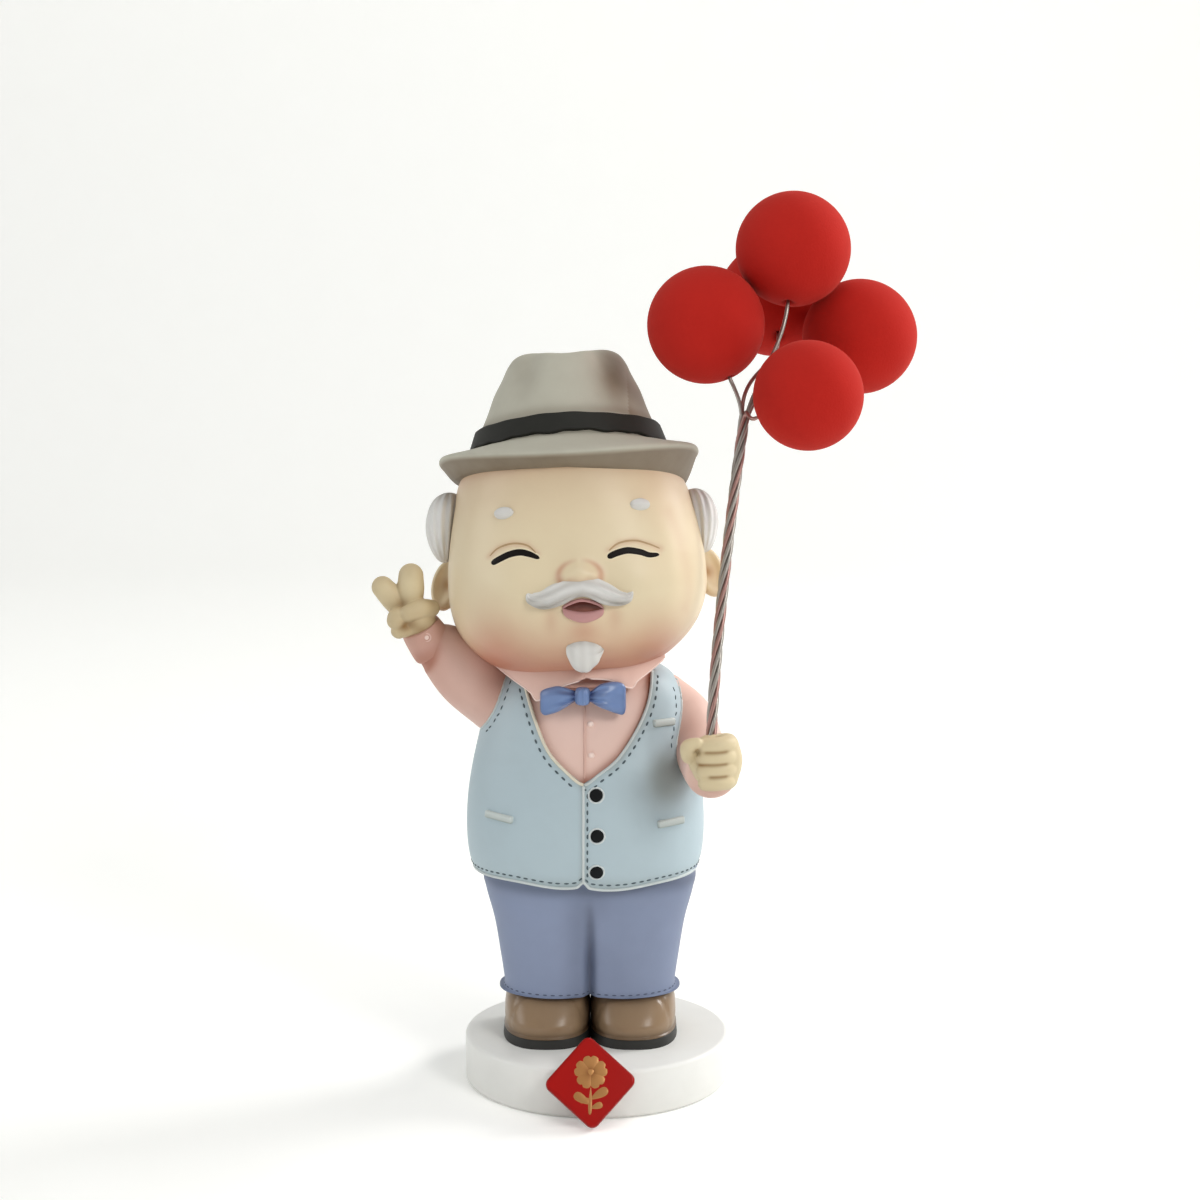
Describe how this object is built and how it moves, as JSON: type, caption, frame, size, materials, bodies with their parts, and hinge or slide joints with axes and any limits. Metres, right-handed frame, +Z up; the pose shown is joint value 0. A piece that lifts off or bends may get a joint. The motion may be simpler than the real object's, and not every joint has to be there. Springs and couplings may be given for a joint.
{
  "type": "elderly gentleman figurine with foam balloons",
  "caption": "Painted cast-resin old gentleman in hat and waistcoat on a round plinth, waving one hand and gripping twisted wires that carry red foam balloons, with a red tile leaning in front",
  "frame": {"origin": "centre of the plinth's flat underside", "axes": "+Z up from the plinth through the figure, -Y toward the front that the face and the tile look to, +X to the side of the fist that holds the balloons"},
  "size_m": [0.1003, 0.0614, 0.1669],
  "materials": {
    "painted_resin": "satin",
    "red_enamel": "gloss",
    "red_foam": "matte",
    "craft_wire": "satin"
  },
  "bodies": {
    "root": {"figure": "painted_resin", "plaque": "red_enamel", "balloon_top": "red_foam", "balloon_left": "red_foam", "balloon_back": "red_foam", "balloon_right": "red_foam", "balloon_front": "red_foam", "wire_top": "craft_wire", "wire_left": "craft_wire", "wire_back": "craft_wire", "wire_right": "craft_wire", "wire_front": "craft_wire"}
  },
  "joints": []
}
